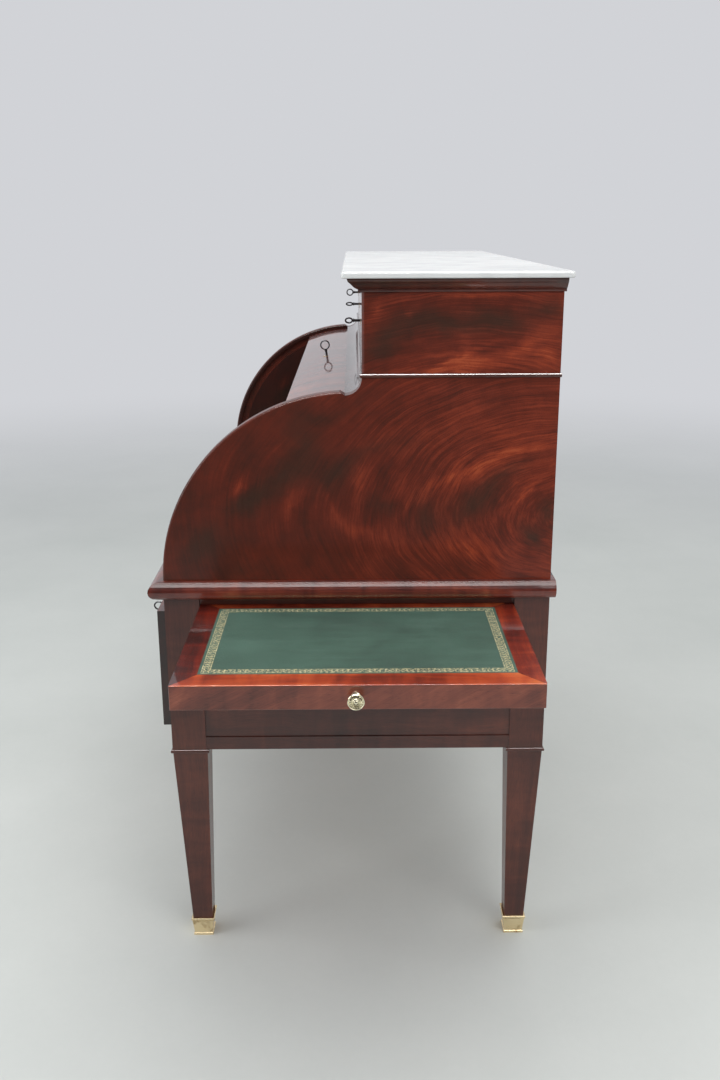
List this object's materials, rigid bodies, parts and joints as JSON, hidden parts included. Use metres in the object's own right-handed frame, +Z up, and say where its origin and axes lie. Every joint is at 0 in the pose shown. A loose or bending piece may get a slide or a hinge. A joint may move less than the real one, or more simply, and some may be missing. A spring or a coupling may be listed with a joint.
{
  "type": "roll top desk",
  "caption": "Mahogany cylinder desk: a curved fall over a leather writing bed and fitted gallery, drawers above and below, leather topped side slides, marble top, brass-shod tapered legs.",
  "frame": {"origin": "on the floor under the middle of the case, which is the middle of the four feet", "axes": "+X along the desk to the user's right, -Y the front where the user sits, +Z up"},
  "size_m": [1.6956, 0.7635, 1.286],
  "materials": {
    "mahogany": "figured veneer, glossy French polish",
    "dark_mahogany": "straight grained, glossy French polish",
    "oak": "plain, waxed",
    "marble": "polished white with faint grey marks",
    "green_leather": "smooth, with a gilt tooled border",
    "brass": "polished, slightly aged",
    "key_steel": "dark, worn"
  },
  "bodies": {
    "case": {"leg_front_right": "dark_mahogany", "leg_front_left": "dark_mahogany", "leg_back_right": "dark_mahogany", "leg_back_left": "dark_mahogany", "brass_sabots": "brass", "leg_beads": "dark_mahogany", "side_framing_right": "dark_mahogany", "side_framing_left": "dark_mahogany", "lower_back_panel": "oak", "front_top_rail": "dark_mahogany", "front_stiles": "dark_mahogany", "front_lower_rails": "dark_mahogany", "kneehole_partitions": "dark_mahogany", "pedestal_floors": "oak", "kneehole_ceiling": "oak", "slide_shelf": "oak", "slide_guides": "oak", "waist_moulding": "dark_mahogany", "writing_bed": "dark_mahogany", "writing_leather": "green_leather", "side_panel_right": "mahogany", "side_panel_left": "mahogany", "cylinder_cover": "dark_mahogany", "drawer_case_side_right": "mahogany", "drawer_case_side_left": "mahogany", "drawer_case_boards": "oak", "drawer_case_dividers": "dark_mahogany", "upper_bead": "dark_mahogany", "cornice": "dark_mahogany", "upper_back_panel": "oak", "marble_top": "marble", "gallery_case": "mahogany"},
    "cylinder": {"cylinder_shell": "mahogany", "cylinder_lock": "key_steel"},
    "cylinder_key": {"cylinder_key": "key_steel"},
    "upper_drawer_left": {"upper_drawer_left_front": "mahogany", "upper_drawer_left_box": "oak"},
    "upper_drawer_left_key": {"upper_drawer_left_key": "key_steel"},
    "upper_drawer_centre": {"upper_drawer_centre_front": "mahogany", "upper_drawer_centre_box": "oak"},
    "upper_drawer_centre_key": {"upper_drawer_centre_key": "key_steel"},
    "upper_drawer_right": {"upper_drawer_right_front": "mahogany", "upper_drawer_right_box": "oak"},
    "upper_drawer_right_key": {"upper_drawer_right_key": "key_steel"},
    "deep_drawer_right": {"deep_drawer_right_front": "mahogany", "deep_drawer_right_box": "oak"},
    "deep_drawer_right_key": {"deep_drawer_right_key": "key_steel"},
    "deep_drawer_left": {"deep_drawer_left_front": "mahogany", "deep_drawer_left_box": "oak"},
    "centre_drawer": {"centre_drawer_front": "mahogany", "centre_drawer_box": "oak"},
    "side_slide_right": {"side_slide_right": "mahogany", "side_slide_leather_right": "green_leather", "side_slide_knob_right": "brass"},
    "side_slide_left": {"side_slide_left": "mahogany", "side_slide_leather_left": "green_leather", "side_slide_knob_left": "brass"},
    "gallery_drawer_left": {"gallery_drawer_left": "mahogany"},
    "gallery_drawer_centre": {"gallery_drawer_centre": "mahogany"},
    "gallery_drawer_right": {"gallery_drawer_right": "mahogany"}
  },
  "joints": [
    {"name": "cylinder_turn", "type": "hinge", "parent": "case", "child": "cylinder", "pos_m": [0, -0.01, 0.751], "axis": [1, 0, 0], "range_deg": [0, 69]},
    {"name": "cylinder_key_turn", "type": "hinge", "parent": "cylinder", "child": "cylinder_key", "pos_m": [0, -0.0642, 1.07145], "axis": [0, -0.1668, 0.986], "range_deg": [-180, 180]},
    {"name": "upper_drawer_left_slide", "type": "slide", "parent": "case", "child": "upper_drawer_left", "axis": [0, -1, 0], "range_m": [0, 0.22]},
    {"name": "upper_drawer_left_key_turn", "type": "hinge", "parent": "upper_drawer_left", "child": "upper_drawer_left_key", "pos_m": [-0.42883, 0.01, 1.1875], "axis": [0, -1, 0], "range_deg": [-180, 180]},
    {"name": "upper_drawer_centre_slide", "type": "slide", "parent": "case", "child": "upper_drawer_centre", "axis": [0, -1, 0], "range_m": [0, 0.22]},
    {"name": "upper_drawer_centre_key_turn", "type": "hinge", "parent": "upper_drawer_centre", "child": "upper_drawer_centre_key", "pos_m": [0, 0.01, 1.1875], "axis": [0, -1, 0], "range_deg": [-120, 240]},
    {"name": "upper_drawer_right_slide", "type": "slide", "parent": "case", "child": "upper_drawer_right", "axis": [0, -1, 0], "range_m": [0, 0.22]},
    {"name": "upper_drawer_right_key_turn", "type": "hinge", "parent": "upper_drawer_right", "child": "upper_drawer_right_key", "pos_m": [0.42883, 0.01, 1.1875], "axis": [0, -1, 0], "range_deg": [-138, 222]},
    {"name": "deep_drawer_right_slide", "type": "slide", "parent": "case", "child": "deep_drawer_right", "axis": [0, -1, 0], "range_m": [-0.026, 0.4]},
    {"name": "deep_drawer_right_key_turn", "type": "hinge", "parent": "deep_drawer_right", "child": "deep_drawer_right_key", "pos_m": [0.448, -0.372, 0.6315], "axis": [0, -1, 0], "range_deg": [-165, 195]},
    {"name": "deep_drawer_left_slide", "type": "slide", "parent": "case", "child": "deep_drawer_left", "axis": [0, -1, 0], "range_m": [0, 0.426]},
    {"name": "centre_drawer_slide", "type": "slide", "parent": "case", "child": "centre_drawer", "axis": [0, -1, 0], "range_m": [0, 0.4]},
    {"name": "side_slide_right_slide", "type": "slide", "parent": "case", "child": "side_slide_right", "axis": [1, 0, 0], "range_m": [-0.348, 0]},
    {"name": "side_slide_left_slide", "type": "slide", "parent": "case", "child": "side_slide_left", "axis": [-1, 0, 0], "range_m": [0, 0.348]},
    {"name": "gallery_drawer_left_slide", "type": "slide", "parent": "case", "child": "gallery_drawer_left", "axis": [0, -1, 0], "range_m": [0, 0.1]},
    {"name": "gallery_drawer_centre_slide", "type": "slide", "parent": "case", "child": "gallery_drawer_centre", "axis": [0, -1, 0], "range_m": [0, 0.1]},
    {"name": "gallery_drawer_right_slide", "type": "slide", "parent": "case", "child": "gallery_drawer_right", "axis": [0, -1, 0], "range_m": [0, 0.1]}
  ]
}
